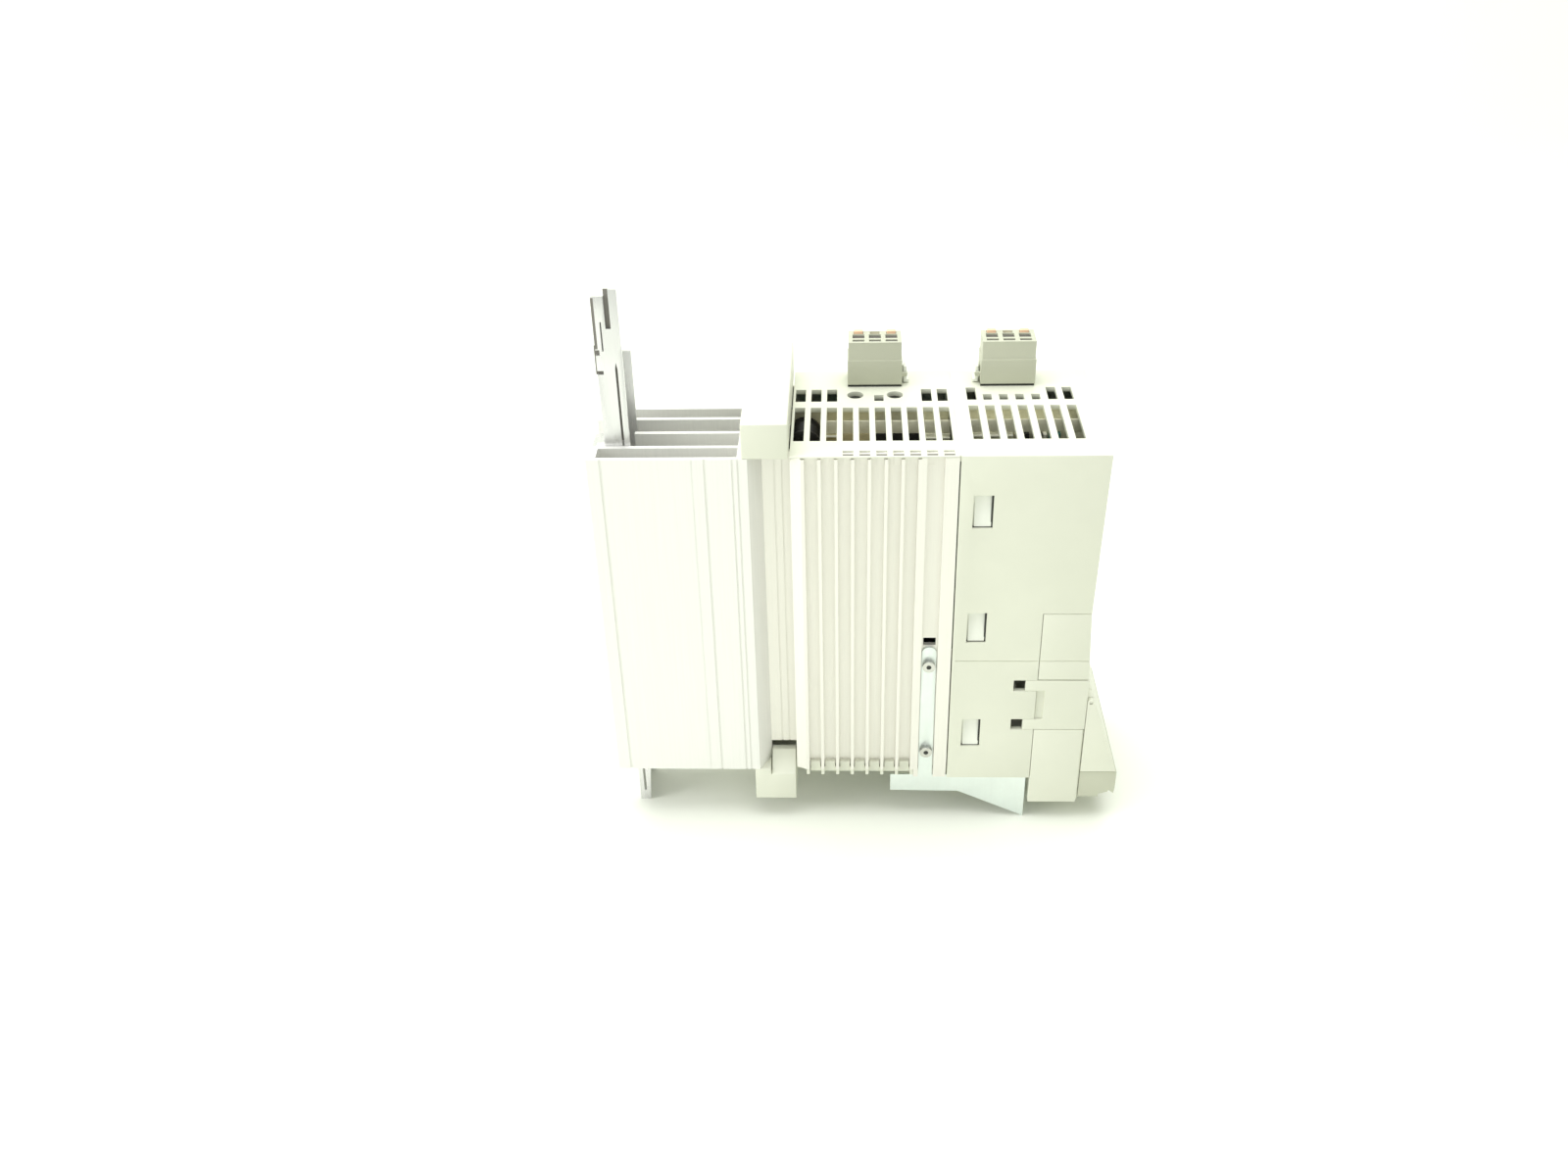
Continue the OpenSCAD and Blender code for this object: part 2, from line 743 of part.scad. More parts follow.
module lower_plug() {
    t = 2;
    x2 = frame_x2 - 2.2 - seam;
    color(plastic)
        difference() {
            union() {
                block([module_x, near(0), -plug_drop], [x2, far(0), plug_top]);
                both_sides()
                    block([module_x, near(0), -plug_drop], [shell_x2 - 0.2, near(t), plug_top]);
            }
            block([module_x + t, near(t), plug_top - 9], [x2 - t, far(t), plug_top + 1]);
            for (i = [0 : lower_poles - 1])
                block([module_x + 5, near(lower_y(i)), -plug_drop - 1],
                    [module_x + 13, near(lower_y(i) + 7.4), plug_top - 14]);
            for (i = [0 : lower_poles - 1])
                translate([module_x + 9, near(lower_y(i) + 3.7), 0])
                    cylinder(r = 1.6, h = plug_top);
        }
}

lower_poles = 7;
function lower_y(i) = 5.6 + i * (body_w - 11.2) / lower_poles + 1.2;

module lower_pins() {
    color("gold")
        for (i = [0 : lower_poles - 1])
            translate([module_x + 9, near(lower_y(i) + 3.7), 2])
                cylinder(r = 1.2, h = notch_low - 1);
}

module control_terminals() {
    x2 = cover_x + cover_d + 0.2;
    color(grey)
        difference() {
            slab_y(near(0.4), far(0.4))
                polygon([[cover_x, -16.8], [cover_x + 9.8, -16.8], [cover_x + 9.8, -15.2],
                    [cover_x + 14.2, -13.8], [cover_x + 14.8, -12.8], [x2 - 0.4, -14.8],
                    [x2, -11.5], [x2, -1.3], [cover_x, -1.3]]);
            for (i = [0 : control_poles - 1])
                block([x2 - 6, near(control_y(i)), -10.2], [x2 + 1, near(control_y(i) + 3), -6.4]);
            for (i = [0 : control_poles - 1])
                block([cover_x - 1, near(control_y(i) + 0.6), -10.4],
                    [cover_x + 7.2, near(control_y(i) + 2.4), -7.6]);
        }
}

control_poles = 14;
function control_y(i) = 12 + i * (body_w - 24) / control_poles;

module control_pins() {
    color("gold")
        for (i = [0 : control_poles - 1])
            block([frame_x2, near(control_y(i) + 1), -9.5],
                [cover_x + 6, near(control_y(i) + 2), -8.5]);
}

// ---- shield sheet ----

module shield_side() {
    y0 = channel_depth - sheet_t;
    tip = channel_w / 2 - 0.35;
    x2 = module_x - 1.6;
    difference() {
        union() {
            slab_y(near(y0), near(channel_depth))
                polygon([[channel_x - 13, shield_z], [x2, shield_z], [x2, -rail_drop],
                    [channel_x + 20, -15.2], [channel_x - 13, -14.8]]);
            slab_y(near(y0), near(channel_depth)) {
                translate([channel_mid - tip, shield_z - 1])
                    square([2 * tip, tongue_l - tip - shield_z + 1]);
                translate([channel_mid, tongue_l - tip])
                    circle(r = tip);
            }
        }
        for (z = [screw_low, screw_high])
            translate([channel_mid, 0, z])
                bar_y(screw_r + 0.1, near(-1), near(channel_depth + 1));
    }
}

module shield_sheet() {
    x2 = module_x - 1.6;
    y0 = channel_depth - sheet_t;
    color("#dfe9e4") {
        both_sides()
            shield_side();
        // cross wall with slots for cable ties
        difference() {
            block([x2 - sheet_t, near(y0), -rail_drop], [x2, far(y0), -16]);
            for (y = [12 : 12 : body_w - 16])
                block([x2 - 3, near(y), -27], [x2 + 1, near(y + 6), -23]);
        }
    }
}

module shield_screws() {
    head_h = channel_depth - sheet_t - 0.2;
    color("silver")
        both_sides()
            for (z = [screw_low, screw_high])
                translate([channel_mid, 0, z])
                    difference() {
                        union() {
                            bar_y(head_r, near(0.2), near(0.2 + head_h));
                            bar_y(screw_r, near(0.2 + head_h - 0.1), near(wall_in + 1.4));
                        }
                        translate([0, near(1.4), 0])
                            rotate([90, 0, 0])
                                cylinder(r = 1.45, h = 3, $fn = 6);
                    }
}

// ---- supply plugs ----

plug_z2 = body_h + supply_h;
plug_lift = 1.2;                               // gap under a plug
funnel_y = supply_y + 6;                       // wire funnels
shaft_y = supply_y + 10.8;                     // shafts of the release buttons

module supply_plug(x, side) {
    y0 = supply_y;
    y1 = supply_y + supply_d;
    end = side > 0 ? x + plug_w : x;
    color(grey)
        difference() {
            union() {
                // ears and pivot for the latch
                translate([end, near(supply_y + supply_d / 2), latch_z]) {
                    for (y = [-latch_w / 2 - 1.5, latch_w / 2 + 0.3])
                        block([side > 0 ? -0.1 : -latch_gap - 0.9, y, -0.9],
                            [side > 0 ? latch_gap + 0.9 : 0.1, y + 1.2, 0.9]);
                    translate([side * latch_gap, 0, 0])
                        bar_y(latch_pin, -latch_w / 2 - 0.4, latch_w / 2 + 0.4);
                }
                block([x, near(y0), body_h + plug_lift], [x + plug_w, near(y1), body_h + 13]);
                block([x + 0.4, near(nose_y), body_h - supply_pocket],
                    [x + plug_w - 0.4, near(nose_y + nose_d), body_h + plug_lift + 0.1]);
                block([x + 0.4, near(y0 + 0.8), body_h + 12.9], [x + plug_w - 0.4, near(y1), plug_z2]);
            }
            for (i = [0 : poles - 1]) {
                px = x + 1.2 + (i + 0.5) * pole_pitch;
                // funnel for the wire, slot for the test probe and shaft of the button
                block([px - 2.7, near(funnel_y), plug_z2 - 15], [px + 2.7, near(funnel_y + 4.4), plug_z2 + 1]);
                block([px - 2.7, near(y0 + 2.3), plug_z2 - 7], [px + 2.7, near(y0 + 4.5), plug_z2 + 1]);
                block([px - 2.25, near(shaft_y), plug_z2 - 9], [px + 2.25, near(shaft_y + 2.8), plug_z2 + 1]);
                // socket for the pin
                block([px - 1, near(y0 + 5.2), body_h - supply_pocket - 1],
                    [px + 1, near(y0 + 7.2), plug_z2 - 14]);
            }
        }
}

module mains_plug() {
    supply_plug(plug_x1, 1);
}

module brake_plug() {
    supply_plug(plug_x2, -1);
}

// Release button of pole i; the middle one lies lower
module button(x, i) {
    px = x + 1.2 + (i + 0.5) * pole_pitch;
    rise = i == 1 ? -1 : 1.2;
    color("#e0702a")
        block([px - 2, near(shaft_y + 0.25), plug_z2 - 7], [px + 2, near(shaft_y + 2.55), plug_z2 + rise]);
}

module mains_button_1() {
    button(plug_x1, 0);
}

module mains_button_2() {
    button(plug_x1, 1);
}

module mains_button_3() {
    button(plug_x1, 2);
}

module brake_button_1() {
    button(plug_x2, 0);
}

module brake_button_2() {
    button(plug_x2, 1);
}

module brake_button_3() {
    button(plug_x2, 2);
}

// Spring clamps at the bottom of the wire funnels
module clamps(x) {
    color("silver")
        for (i = [0 : poles - 1]) {
            px = x + 1.2 + (i + 0.5) * pole_pitch;
            block([px - 2.7, near(funnel_y), plug_z2 - 15], [px + 2.7, near(funnel_y + 1), plug_z2 - 9]);
        }
}

module mains_clamps() {
    clamps(plug_x1);
}

module brake_clamps() {
    clamps(plug_x2);
}

latch_t = 1.4;                                 // thickness of a latch lever
latch_w = 6;                                   // width of a latch lever
latch_z = body_h + 4.8;                        // height of its pivot
latch_gap = 1.5;                               // from the plug's end to the pivot
latch_pin = 0.5;                               // radius of the pivot

// Hooked lever on the end of a plug; side is 1 or -1 along X
module latch(x, side) {
    y_mid = near(supply_y + supply_d / 2);
    w = latch_w / 2;
    color(grey)
        translate([x + side * latch_gap, y_mid, latch_z])
            difference() {
                union() {
                    block([-latch_t / 2, -w, -4.4], [latch_t / 2, w, 3.4]);
                    block([side > 0 ? 0 : -1.7, -w, -4.4], [side > 0 ? 1.7 : 0, w, -3]);
                    bar_y(latch_gap - 0.3, -w, w);
                }
                bar_y(latch_pin + pin_gap, -w - 1, w + 1);
            }
}

module mains_latch() {
    latch(plug_x1 + plug_w, 1);
}

module brake_latch() {
    latch(plug_x2, -1);
}

// Socket under a plug, standing off its circuit board
module supply_socket(x) {
    top = body_h - vent_t;
    y0 = board_y + board_t;
    color("#3c4038")
        difference() {
            block([x - 1.5, near(y0), top - 14], [x + plug_w + 1.5, near(nose_y + nose_d + 1.6), top - 0.2]);
            block([x + 0.1, near(nose_y - 0.3), body_h - supply_pocket - 0.2],
                [x + plug_w - 0.1, near(nose_y + nose_d + 0.3), top + 1]);
            for (i = [0 : poles - 1]) {
                px = x + 1.2 + (i + 0.5) * pole_pitch;
                block([px - 0.6, near(supply_y + 5.6), top - 15], [px + 0.6, near(supply_y + 6.8), top]);
            }
        }
}

module mains_socket() {
    supply_socket(plug_x1);
}

module brake_socket() {
    supply_socket(plug_x2);
}

module socket_pins() {
    color("gold")
        for (x = [plug_x1, plug_x2])
            for (i = [0 : poles - 1]) {
                px = x + 1.2 + (i + 0.5) * pole_pitch;
                block([px - 0.6, near(supply_y + 5.6), panel_h - 16], [px + 0.6, near(supply_y + 6.8), body_h + 4]);
            }
}

// ---- electronics ----

board_x1 = sink_d + 14;
board_x2 = panel_x2 - 3;
board_z1 = 4;
board_z2 = panel_h - 14.6;
control_x1 = shell_x + 3;
control_x2 = module_x + 6;
module_y = 18;
module_w = 32;
module_z = 62;
module_h = 52;

module power_board() {
    color("#2f6b3c")
        block([board_x1, near(board_y), board_z1], [board_x2, near(board_y + board_t), board_z2 + 14.4]);
}

module control_board() {
    color("#2a5f46")
        difference() {
            block([control_x1, near(board_y), notch_low + 4],
                [shell_x2 - 9, near(board_y + board_t), body_h - housing_t - 0.2]);
            block([control_x2, near(board_y - 1), 0],
                [shell_x2, near(board_y + board_t + 1), frame_top + 1]);
        }
}

module board_posts() {
    color("silver") {
        for (x = [board_x1 + 10, board_x2 - 5])
            for (z = [30, board_z2 - 16])
                translate([x, 0, z])
                    bar_y(2.6, near(board_y + board_t), far(wall_in));
        for (x = [control_x1 + 20, control_x2 - 6])
            for (z = [notch_low + 12, body_h - 30])
                translate([x, 0, z])
                    bar_y(2.6, near(board_y + board_t), far(housing_t));
    }
}

module power_module() {
    color("#2b2d2b")
        difference() {
            block([sink_x2, near(module_y), module_z], [sink_x2 + 12, near(module_y + module_w), module_z + module_h]);
            for (z = [module_z + 6, module_z + module_h - 6])
                translate([0, near(module_y + module_w / 2), z])
                    bar_x(screw_r + 0.1, sink_x2 - 1, sink_x2 + 13);
        }
}

module module_screws() {
    color("silver")
        for (z = [module_z + 6, module_z + module_h - 6])
            translate([0, near(module_y + module_w / 2), z]) {
                bar_x(screw_r, sink_x2 - sink_base, sink_x2 + 12.1);
                bar_x(2.8, sink_x2 + 12, sink_x2 + 14);
            }
}

module bus_capacitors() {
    color("#23252c")
        for (i = [0 : bus_count - 1])
            translate([board_x2 - bus_r - 3, 0, bus_z + i * bus_pitch])
                bar_y(bus_r, near(16), near(board_y));
}

module film_capacitors() {
    color("#c9b98c")
        for (i = [0 : 2])
            block([board_x1 + 9.5 + i * 10.4, near(20), board_z2 - 26],
                [board_x1 + 18.5 + i * 10.4, near(board_y), board_z2 - 4]);
}

bus_z = 22;                                     // lowest bus capacitor
bus_pitch = 2 * bus_r + 2;
choke_z = bus_z + (bus_count - 1) * bus_pitch + bus_r + 17;
choke_x = board_x2 - 16;
choke_y = board_y - 7;                         // the coils rest against the board

module choke_core() {
    color("#8f948a")
        translate([choke_x, near(choke_y), choke_z])
            rotate([90, 0, 0])
                rotate_extrude()
                    translate([8.5, 0])
                        square([4.6, 9], center = true);
}

// Coils of the choke, as a sleeve round each half of its core, and its base
module choke_winding() {
    color("#a5623a")
        translate([choke_x, near(choke_y), choke_z]) {
            for (side = [-1, 1])
                difference() {
                    block([side > 0 ? 3 : -13, -7, -5], [side > 0 ? 13 : -3, 7, 5]);
                    rotate([90, 0, 0])
                        difference() {
                            cylinder(r = 10.9, h = 9.2, center = true);
                            cylinder(r = 6.1, h = 11, center = true);
                        }
                }
        }
}

module transformer() {
    color("#d8cf9f")
        difference() {
            union() {
                block([board_x1 + 3, near(board_y - 24), 20], [board_x1 + 27, near(board_y), 44]);
                block([board_x1 + 1, near(board_y - 20), 24], [board_x1 + 29, near(board_y - 4), 40]);
            }
            block([board_x1 + 9, near(board_y - 25), 26], [board_x1 + 21, near(board_y - 22), 38]);
        }
}

module relay() {
    color("#3a3f52")
        difference() {
            block([board_x1 + 3, near(board_y - 15), 58], [board_x1 + 23, near(board_y), 84]);
            block([board_x1 + 4, near(board_y - 16), 59], [board_x1 + 22, near(board_y - 14.4), 83]);
        }
}

signal_z = frame_top + 5;

module signal_sockets() {
    color("#4a4f4a")
        for (i = [0 : 1])
            difference() {
                block([control_x2 - 10, near(board_y - 15), signal_z + i * 15.4],
                    [shell_x2 - 6.4, near(board_y), signal_z + i * 15.4 + 13.4]);
                block([shell_x2 - 18, near(board_y - 13.4), signal_z + i * 15.4 + 2],
                    [shell_x2, near(board_y - 1.8), signal_z + i * 15.4 + 10.4]);
            }
}

memory_w = 16;
memory_y = board_y - memory_w - 0.1;
memory_z = body_h - 51;
memory_h = 5;
guide_y = board_y + board_t + 1.5;             // the guides lie along the board
guide_z = body_h - 13;

module memory_module() {
    color("#5d655c")
        difference() {
            block([shell_x2 - 20, near(memory_y), memory_z],
                [shell_x2 - 1, near(memory_y + memory_w), memory_z + memory_h]);
            block([shell_x2 - 2, near(memory_y + 5), memory_z + 1.4],
                [shell_x2, near(memory_y + memory_w - 5), memory_z + memory_h - 1.4]);
        }
}

module light_guides() {
    color("#cfe6ee")
        for (i = [0 : 2])
            translate([0, near(guide_y), guide_z - i * 6])
                bar_x(1.5, shell_x2 - 14, shell_x2 - 0.6);
}

heatsink();
rail_top();
rail_bottom();
collar_top();
collar_bottom();
side_panel_near();
side_panel_far();
top_cover();
bottom_cover();
cover_screws();
housing();
inner_frame();
front_lid();
terminal_frame();
lower_plug();
lower_pins();
terminal_cover();
hinge_pin();
control_terminals();
control_pins();
shield_sheet();
shield_screws();
mains_plug();
brake_plug();
mains_button_1();
mains_button_2();
mains_button_3();
brake_button_1();
brake_button_2();
brake_button_3();
mains_clamps();
brake_clamps();
mains_latch();
brake_latch();
mains_socket();
brake_socket();
socket_pins();
power_board();
control_board();
board_posts();
power_module();
module_screws();
bus_capacitors();
film_capacitors();
choke_core();
choke_winding();
transformer();
relay();
signal_sockets();
memory_module();
light_guides();
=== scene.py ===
import json
import math
import bmesh
import bpy
from mathutils import Matrix, Vector


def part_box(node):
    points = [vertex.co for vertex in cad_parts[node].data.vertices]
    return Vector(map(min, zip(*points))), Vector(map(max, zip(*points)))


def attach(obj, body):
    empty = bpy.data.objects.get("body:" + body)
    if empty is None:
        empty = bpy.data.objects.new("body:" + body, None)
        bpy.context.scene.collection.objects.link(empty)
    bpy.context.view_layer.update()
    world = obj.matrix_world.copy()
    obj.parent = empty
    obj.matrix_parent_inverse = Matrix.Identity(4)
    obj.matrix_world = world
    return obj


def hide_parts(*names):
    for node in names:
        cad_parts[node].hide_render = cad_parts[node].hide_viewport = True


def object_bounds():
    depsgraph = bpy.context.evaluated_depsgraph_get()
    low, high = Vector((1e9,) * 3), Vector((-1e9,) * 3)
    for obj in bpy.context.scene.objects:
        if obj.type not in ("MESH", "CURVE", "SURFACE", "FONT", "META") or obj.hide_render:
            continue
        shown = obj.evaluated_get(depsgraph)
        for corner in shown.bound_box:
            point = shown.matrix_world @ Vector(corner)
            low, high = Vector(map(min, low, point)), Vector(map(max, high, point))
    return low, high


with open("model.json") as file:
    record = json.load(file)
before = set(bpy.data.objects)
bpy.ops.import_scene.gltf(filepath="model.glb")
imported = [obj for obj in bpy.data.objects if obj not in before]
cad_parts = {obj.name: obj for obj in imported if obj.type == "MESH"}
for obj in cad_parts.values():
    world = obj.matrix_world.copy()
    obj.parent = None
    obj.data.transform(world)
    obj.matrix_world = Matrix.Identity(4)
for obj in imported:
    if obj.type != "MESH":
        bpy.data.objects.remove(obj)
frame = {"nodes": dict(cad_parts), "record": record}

cad_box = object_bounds()
nodes = frame["nodes"]
slots = {row["node"]: row["material_slot"] for row in frame["record"]["subparts"]}
bodies = frame["record"]["behaviour"]["bodies"]

# ---- camera ----

CAMERA_AT = (0.1114, -0.5681, 0.4577)           # metres
CAMERA_TURN = (-2.974, 32.98, -1.694)           # yaw, pitch and roll in degrees
CAMERA_LENS = 33.25


def make_camera():
    """Camera that looks along +Y and down onto the near side"""
    yaw, pitch, roll = (math.radians(a) for a in CAMERA_TURN)
    flat = math.cos(pitch)
    ahead = Vector((math.sin(yaw) * flat, math.cos(yaw) * flat, -math.sin(pitch)))
    level = Vector((math.cos(yaw), -math.sin(yaw), 0))
    right = level * math.cos(roll) + level.cross(ahead) * math.sin(roll)
    up = right.cross(ahead)
    cam = bpy.data.objects.new("camera", bpy.data.cameras.new("camera"))
    rows = [(*row, at) for row, at in zip(zip(right, up, -ahead), CAMERA_AT)]
    cam.matrix_world = Matrix(rows + [(0, 0, 0, 1)])
    cam.data.lens = CAMERA_LENS
    cam.data.clip_start = 0.01
    bpy.context.collection.objects.link(cam)
    bpy.context.scene.camera = cam


make_camera()

# ---- node materials ----


class Nodes:
    """A new material with short helpers for its node tree"""

    def __init__(self, name):
        self.mat = bpy.data.materials.new(name)
        self.mat.use_nodes = True
        self.tree = self.mat.node_tree
        self.shader = self.tree.nodes["Principled BSDF"]
        self.coord = self.node("ShaderNodeTexCoord").outputs["Object"]

    def node(self, kind, **props):
        n = self.tree.nodes.new(kind)
        for key, value in props.items():
            setattr(n, key, value)
        return n

    def link(self, source, target):
        self.tree.links.new(source, target)

    def put(self, name, value):
        self.shader.inputs[name].default_value = value

    def noise(self, scale, detail=3.0, rough=0.5, stretch=None):
        """Noise over the object's own coordinates, stretched along an axis by a small factor"""
        n = self.node("ShaderNodeTexNoise")
        n.inputs["Scale"].default_value = scale
        n.inputs["Detail"].default_value = detail
        n.inputs["Roughness"].default_value = rough
        source = self.coord
        if stretch:
            mapping = self.node("ShaderNodeMapping")
            mapping.inputs["Scale"].default_value = stretch
            self.link(source, mapping.inputs["Vector"])
            source = mapping.outputs["Vector"]
        self.link(source, n.inputs["Vector"])
        return n.outputs["Fac"]

    def ramp(self, fac, low, high):
        """Colour or grey ramp between two (position, value) stops"""
        r = self.node("ShaderNodeValToRGB")
        for element, (position, value) in zip(r.color_ramp.elements, (low, high)):
            element.position = position
            element.color = (*value, 1) if isinstance(value, tuple) else (value, value, value, 1)
        self.link(fac, r.inputs["Fac"])
        return r.outputs["Color"]

    def mix(self, fac, first, second):
        """Mix of a colour socket with a fixed colour"""
        m = self.node("ShaderNodeMix", data_type="RGBA", blend_type="MIX")
        self.link(fac, m.inputs["Factor"])
        self.link(first, m.inputs[6])
        m.inputs[7].default_value = (*second, 1)
        return m.outputs[2]

    def colour(self, socket):
        self.link(socket, self.shader.inputs["Base Color"])

    def roughness(self, socket):
        self.link(socket, self.shader.inputs["Roughness"])

    def bump(self, height, strength, distance):
        b = self.node("ShaderNodeBump")
        b.inputs["Strength"].default_value = strength
        b.inputs["Distance"].default_value = distance
        self.link(height, b.inputs["Height"])
        self.link(b.outputs["Normal"], self.shader.inputs["Normal"])


def shade(colour, factor):
    return tuple(min(1.0, v * factor) for v in colour)


def plastic(name, base, rough=0.42, grain=0.25, tint=0.03):
    """Moulded plastic: a faint cloudy tint and a fine grain"""
    m = Nodes(name)
    cloud = m.noise(18, 4, 0.6)
    fine = m.noise(900, 2, 0.6)
    m.colour(m.ramp(cloud, (0.3, shade(base, 1 - tint)), (0.7, shade(base, 1 + tint))))
    m.roughness(m.ramp(fine, (0.3, rough - 0.05), (0.7, rough + 0.08)))
    m.bump(fine, grain, 0.00012)
    m.put("Specular IOR Level", 0.45)
    return m.mat


def extruded(name, base, rough, metal=0.9):
    """Extruded aluminium with die lines along its length"""
    m = Nodes(name)
    lines = m.noise(900, 3, 0.55, (1, 1, 0.02))
    broad = m.noise(60, 3, 0.6, (1, 1, 0.05))
    drawn = m.ramp(lines, (0.3, shade(base, 0.97)), (0.7, shade(base, 1.02)))
    m.colour(m.mix(m.ramp(broad, (0.4, 0.0), (0.75, 0.12)), drawn, shade(base, 0.86)))
    m.roughness(m.ramp(lines, (0.3, rough - 0.07), (0.7, rough + 0.09)))
    m.put("Metallic", metal)
    m.bump(lines, 0.1, 0.0001)
    return m.mat


def steel(name, base, rough=0.3, streak=0.1):
    """Sheet or turned metal with rolling streaks and dull spots"""
    m = Nodes(name)
    lines = m.noise(700, 3, 0.5, (1, 1, 0.04))
    spots = m.noise(120, 3, 0.6)
    rolled = m.ramp(lines, (0.3, shade(base, 1 - streak)), (0.7, shade(base, 1 + 0.8 * streak)))
    m.colour(m.mix(m.ramp(spots, (0.35, 0.0), (0.8, 0.3)), rolled, shade(base, 0.8)))
    m.roughness(m.ramp(lines, (0.3, rough - 0.08), (0.7, rough + 0.1)))
    m.put("Metallic", 1.0)
    m.bump(lines, 1.5 * streak, 0.0001)
    return m.mat


# one material per slot of the record, and "panel" for the ribbed side panels
mats = {
    "aluminium": extruded("aluminium", (0.86, 0.86, 0.82), 0.55, metal=0.25),
    "panel": extruded("panel", (0.84, 0.825, 0.765), 0.42, metal=0.5),
    "rail": extruded("rail", (0.80, 0.80, 0.80), 0.30),
    "shell": plastic("shell", (0.735, 0.75, 0.635)),
    "shell_inner": plastic("shell_inner", (0.86, 0.88, 0.80)),
    "terminal": plastic("terminal", (0.53, 0.545, 0.43)),
    "button": plastic("button", (0.86, 0.58, 0.38), 0.4),
    "sheet": steel("sheet", (0.80, 0.86, 0.84), 0.4, streak=0.02),
    "steel": steel("steel", (0.62, 0.62, 0.58)),
    "contact": steel("contact", (0.75, 0.62, 0.35), 0.25),
    "dark_plastic": plastic("dark_plastic", (0.03, 0.032, 0.028), 0.5),
    "board": plastic("board", (0.03, 0.12, 0.06), 0.35),
    "capacitor": plastic("capacitor", (0.02, 0.02, 0.025), 0.3),
    "film": plastic("film", (0.45, 0.36, 0.18), 0.45),
    "ferrite": plastic("ferrite", (0.12, 0.12, 0.11), 0.6),
    "copper": plastic("copper", (0.35, 0.14, 0.05), 0.35),
    "relay_case": plastic("relay_case", (0.03, 0.035, 0.06), 0.4),
    "module_case": plastic("module_case", (0.10, 0.12, 0.10), 0.45),
    "clear": plastic("clear", (0.75, 0.86, 0.90), 0.1),
}

# what shows through vents, windows and slots
inside = {
    "grey": plastic("inner_grey", (0.95, 0.93, 0.74), 0.7),
    "tan": plastic("inner_tan", (0.62, 0.56, 0.33), 0.5),
    "black": plastic("inner_black", (0.02, 0.02, 0.018), 0.45),
    "pale": plastic("inner_pale", (0.80, 0.80, 0.68), 0.5),
    # painted shade: dark blocks inside the plug openings
    "opening": plastic("inner_opening_shade", (0.10, 0.095, 0.08), 0.6),
    "shade": plastic("inner_shade", (0.20, 0.19, 0.17), 0.6),
    "teal": plastic("inner_teal", (0.05, 0.20, 0.16), 0.4),
}

for name, obj in nodes.items():
    obj.data.materials.clear()
    obj.data.materials.append(mats["panel" if name.startswith("side_panel") else slots[name]])
    for face in obj.data.polygons:
        face.material_index = 0

# ---- pieces ----


def body_of(node):
    return next(body for body, members in bodies.items() if node in members)


def add(name, bm, body, slot, mat=None, smooth=True):
    """Piece from a bmesh, riding on a body"""
    mesh = bpy.data.meshes.new(name)
    bm.normal_update()
    bm.to_mesh(mesh)
    bm.free()
    mesh.materials.append(mat or mats[slot])
    o = bpy.data.objects.new(name, mesh)
    bpy.context.collection.objects.link(o)
    if smooth:
        for face in mesh.polygons:
            face.use_smooth = True
        mesh.set_sharp_from_angle(angle=math.radians(40))
    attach(o, body)
    return o


def rounded(node, width, mat=None):
    """Copy of a CAD node with its edges rounded by a width in mm, standing in for it"""
    bm = bmesh.new()
    bm.from_mesh(nodes[node].data)
    bmesh.ops.remove_doubles(bm, verts=bm.verts, dist=2e-6)
    bmesh.ops.dissolve_limit(bm, angle_limit=math.radians(1), verts=bm.verts, edges=bm.edges)
    bm.normal_update()
    sharp = [e for e in bm.edges if len(e.link_faces) == 2 and e.calc_face_angle(0) > math.radians(35)]
    bmesh.ops.bevel(bm, geom=sharp, offset=width / 1000, offset_type="OFFSET", segments=2, profile=0.6,
                    affect="EDGES", clamp_overlap=True, harden_normals=False)
    bmesh.ops.triangulate(bm, faces=[f for f in bm.faces if len(f.verts) > 4])
    o = add(node + "_rounded", bm, body_of(node), slots[node], mat)
    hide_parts(node)


def cuboid(bm, lo, hi, bevel=0.0):
    """Box from its lowest to its highest corner in mm, with rounded edges"""
    made = bmesh.ops.create_cube(bm, size=1.0)
    size = Vector(hi) - Vector(lo)
    mid = (Vector(hi) + Vector(lo)) / 2
    for v in made["verts"]:
        v.co = Vector(v.co[i] * size[i] + mid[i] for i in range(3)) / 1000
    if bevel:
        edges = list({e for v in made["verts"] for e in v.link_edges})
        bmesh.ops.bevel(bm, geom=edges, offset=bevel / 1000, segments=2, profile=0.6, affect="EDGES")


# ---- rounded copies of the moulded, folded and turned pieces ----

PLUGS = ("mains", "brake")
POLES = (1, 2, 3)
ROUNDING = {                                    # in mm
    "collar_top": 0.5, "collar_bottom": 0.4, "top_cover": 0.25, "housing": 0.15, "front_lid": 0.15,
    "terminal_frame": 0.12, "lower_plug": 0.3, "terminal_cover": 0.15, "control_terminals": 0.15,
    "mains_plug": 0.2, "brake_plug": 0.2, "rail_top": 0.25, "rail_bottom": 0.25, "shield_sheet": 0.2,
    "shield_screws": 0.15,
}
for node, width in ROUNDING.items():
    rounded(node, width)
for plug in PLUGS:
    for pole in POLES:
        rounded(f"{plug}_button_{pole}", 0.3)
for plug in PLUGS:
    rounded(plug + "_latch", 0.2, mats["shell_inner"])

# ---- places in the frame, in mm ----

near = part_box("heatsink")[0].y * 1000           # near side; Y distances below are counted from here
body_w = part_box("housing")[1].y * 1000 - near
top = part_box("top_cover")[1].z * 1000           # top of the body
panel_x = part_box("top_cover")[0].x * 1000
cover_x2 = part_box("top_cover")[1].x * 1000
shell_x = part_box("housing")[0].x * 1000
rail_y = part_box("rail_top")[0].y * 1000 - near
plug_x2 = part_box("lower_plug")[1].x * 1000


